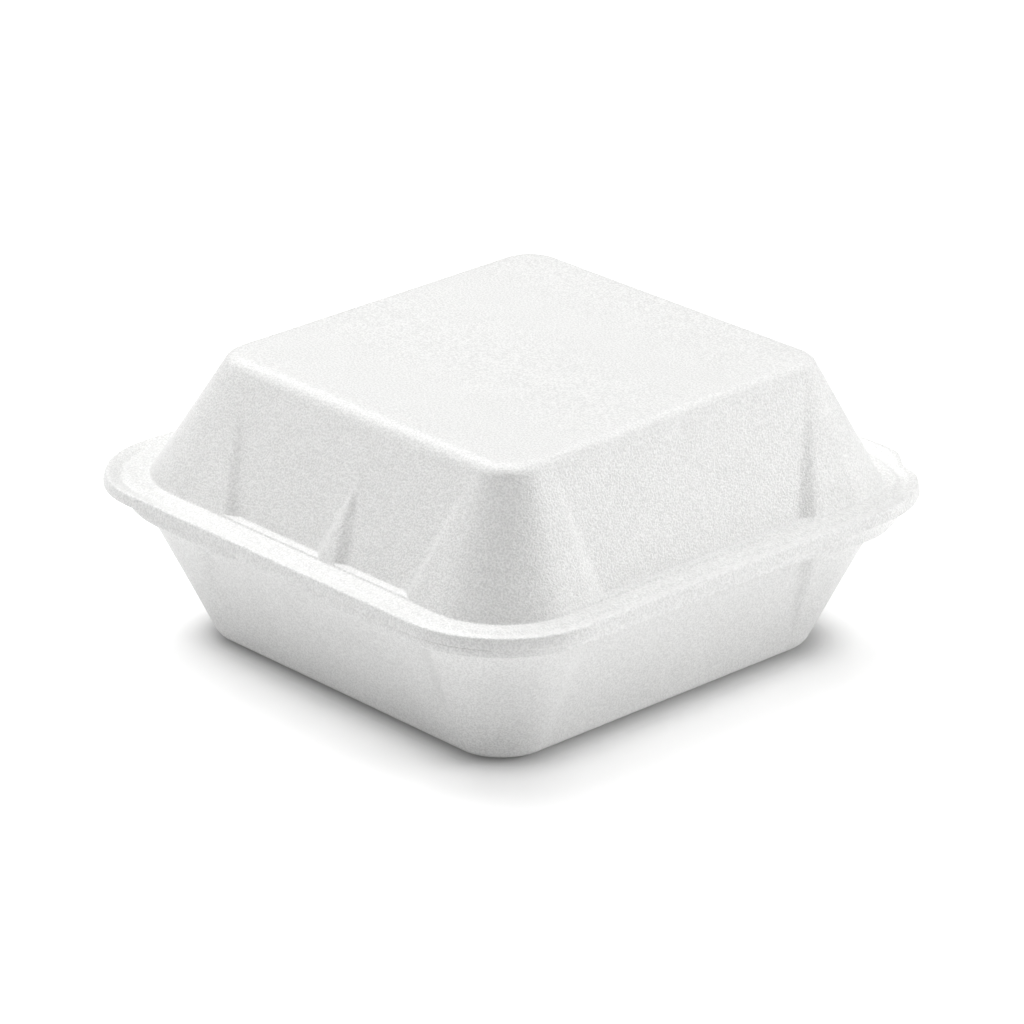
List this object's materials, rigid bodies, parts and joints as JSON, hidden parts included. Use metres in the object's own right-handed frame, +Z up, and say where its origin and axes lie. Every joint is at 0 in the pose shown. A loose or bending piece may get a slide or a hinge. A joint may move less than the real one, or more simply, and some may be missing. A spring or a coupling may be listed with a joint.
{
  "type": "foam clamshell container",
  "caption": "Square hinged food box of moulded white foam: a deep base with flared ribbed walls, a domed lid with a flat top, rolled flanges and a front latch lug.",
  "frame": {"origin": "middle of the closed box on the table plane", "axes": "+Z up, front with the latch towards -Y, hinge along the +Y side, +X to the right seen from the front"},
  "size_m": [0.15, 0.1517, 0.0704],
  "materials": {
    "foam": "satin"
  },
  "bodies": {
    "base": {"base": "foam"},
    "lid": {"lid": "foam"}
  },
  "joints": [
    {"name": "lid_hinge", "type": "hinge", "parent": "base", "child": "lid", "pos_m": [0, 0.0762, 0.03795], "axis": [-1, 0, 0], "range_deg": [0, 180]}
  ]
}
